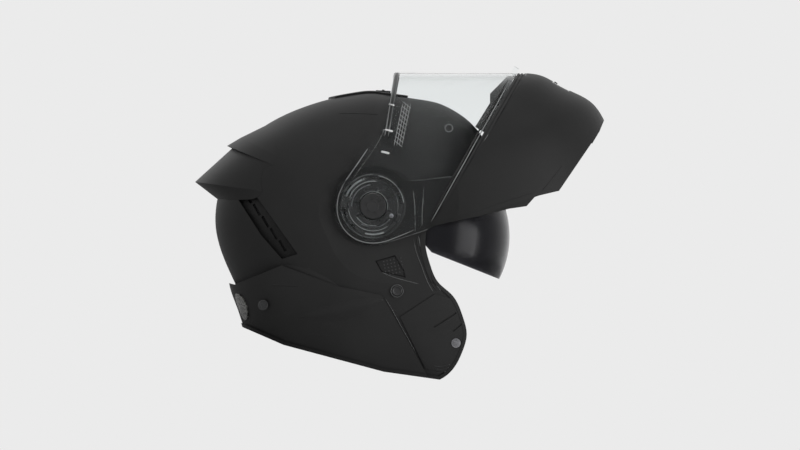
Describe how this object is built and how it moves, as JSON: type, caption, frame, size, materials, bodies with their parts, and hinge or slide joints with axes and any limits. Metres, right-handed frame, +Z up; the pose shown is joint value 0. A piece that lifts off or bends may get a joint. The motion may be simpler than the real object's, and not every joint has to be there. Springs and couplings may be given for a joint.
{
  "type": "modular motorcycle helmet",
  "caption": "Modular motorcycle helmet with a chin bar and clear visor that lift together, a drop-down tinted sun visor, vents, liner and chin strap.",
  "frame": {"origin": "centre of the helmet's outline seen from above, on the plane that its rim rests on, with the chin bar raised", "axes": "+X the way the wearer faces, +Y the wearer's left, +Z up from the rim it stands on"},
  "size_m": [0.3602, 0.2554, 0.3125],
  "materials": {
    "shell": "matt",
    "panel": "matt",
    "trim": "matt",
    "seal": "satin",
    "black_plastic": "satin",
    "vent_plastic": "satin",
    "clear": "polished",
    "tint": "polished",
    "lining": "matt",
    "foam": "matt",
    "webbing": "matt",
    "steel": "brushed",
    "reflector": "satin"
  },
  "bodies": {
    "root": {"outer_shell": "shell", "rim_trim": "trim", "eye_port_gasket": "seal", "rear_spoiler": "panel", "eps_liner": "foam", "crown_pad": "lining", "neck_roll": "lining", "top_vent_base": "panel", "buckle_body": "black_plastic", "cheek_pad_left": "lining", "cheek_pad_right": "lining", "chin_strap_left": "webbing", "chin_strap_right": "webbing", "strap_rivet_left": "black_plastic", "strap_rivet_right": "black_plastic", "rear_rivet_left": "black_plastic", "rear_rivet_right": "black_plastic", "rear_reflector_left": "reflector", "rear_reflector_right": "reflector", "lock_pin_left": "steel", "lock_pin_right": "steel", "jaw_cover_left": "black_plastic", "jaw_cover_right": "black_plastic", "exhaust_vent_left": "vent_plastic", "exhaust_vent_right": "vent_plastic", "sun_visor_pin_left": "black_plastic", "sun_visor_pin_right": "black_plastic", "base_plate_left": "black_plastic", "base_plate_right": "black_plastic", "pivot_cap_left": "black_plastic", "pivot_cap_right": "black_plastic"},
    "chin_bar": {"chin_bar_shell": "panel", "chin_bar_foam": "foam", "breath_guard": "black_plastic", "visor_seal": "seal", "chin_vent_grille": "vent_plastic", "visor_ratchet_left": "black_plastic", "visor_ratchet_right": "black_plastic"},
    "visor": {"clear_visor": "clear", "pinlock_pin_left": "black_plastic", "pinlock_pin_right": "black_plastic"},
    "sun_visor": {"sun_visor_lens": "tint"},
    "sun_visor_thumb": {"sun_visor_lever": "black_plastic"},
    "chin_release": {"release_button": "black_plastic"},
    "vent_slider": {"top_vent_slider": "black_plastic"},
    "chin_vent": {"chin_vent_slider": "black_plastic"},
    "latch_left": {"latch_claw_left": "steel"},
    "latch_right": {"latch_claw_right": "steel"},
    "buckle_latch": {"buckle_lever": "black_plastic"}
  },
  "joints": [
    {"name": "chin_bar_hinge", "type": "hinge", "parent": "root", "child": "chin_bar", "pos_m": [-0.012, 0, 0.14949], "axis": [0, 1, 0], "range_deg": [0, 74]},
    {"name": "visor_hinge", "type": "hinge", "parent": "chin_bar", "child": "visor", "pos_m": [-0.012, 0, 0.14949], "axis": [0, -1, 0], "range_deg": [0, 50]},
    {"name": "sun_visor_hinge", "type": "hinge", "parent": "root", "child": "sun_visor", "pos_m": [0.03629, 0, 0.13266], "axis": [0, -1, 0], "range_deg": [0, 50]},
    {"name": "sun_visor_lever_slide", "type": "slide", "parent": "root", "child": "sun_visor_thumb", "axis": [0.983, 0.1838, 0], "range_m": [0, 0.018]},
    {"name": "release_button_slide", "type": "slide", "parent": "chin_bar", "child": "chin_release", "axis": [-0.9613, 0, 0.2756], "range_m": [0, 0.0035], "stiffness_N_per_m": 500},
    {"name": "top_vent_slide", "type": "slide", "parent": "root", "child": "vent_slider", "axis": [-0.9781, 0, -0.2079], "range_m": [0, 0.008]},
    {"name": "chin_vent_slide", "type": "slide", "parent": "chin_bar", "child": "chin_vent", "axis": [0, 1, 0], "range_m": [-0.006, 0.006]},
    {"name": "latch_left_hinge", "type": "hinge", "parent": "chin_bar", "child": "latch_left", "pos_m": [0.11344, 0.10637, 0.23647], "axis": [-0.2699, -0.9411, -0.2039], "range_deg": [0, 22]},
    {"name": "latch_right_hinge", "type": "hinge", "parent": "chin_bar", "child": "latch_right", "pos_m": [0.11344, -0.10637, 0.23647], "axis": [0.2699, -0.9411, 0.2039], "range_deg": [0, 22]},
    {"name": "buckle_lever_hinge", "type": "hinge", "parent": "root", "child": "buckle_latch", "pos_m": [0.0309, -0.01065, 0.00765], "axis": [1, 0, 0], "range_deg": [0, 35], "stiffness_Nm_per_rad": 0.06}
  ],
  "couplings": [
    {"joint": "sun_visor_lever_slide", "follows": "sun_visor_hinge", "m_per_rad": 0.0206},
    {"joint": "latch_right_hinge", "follows": "latch_left_hinge", "ratio": 1}
  ]
}
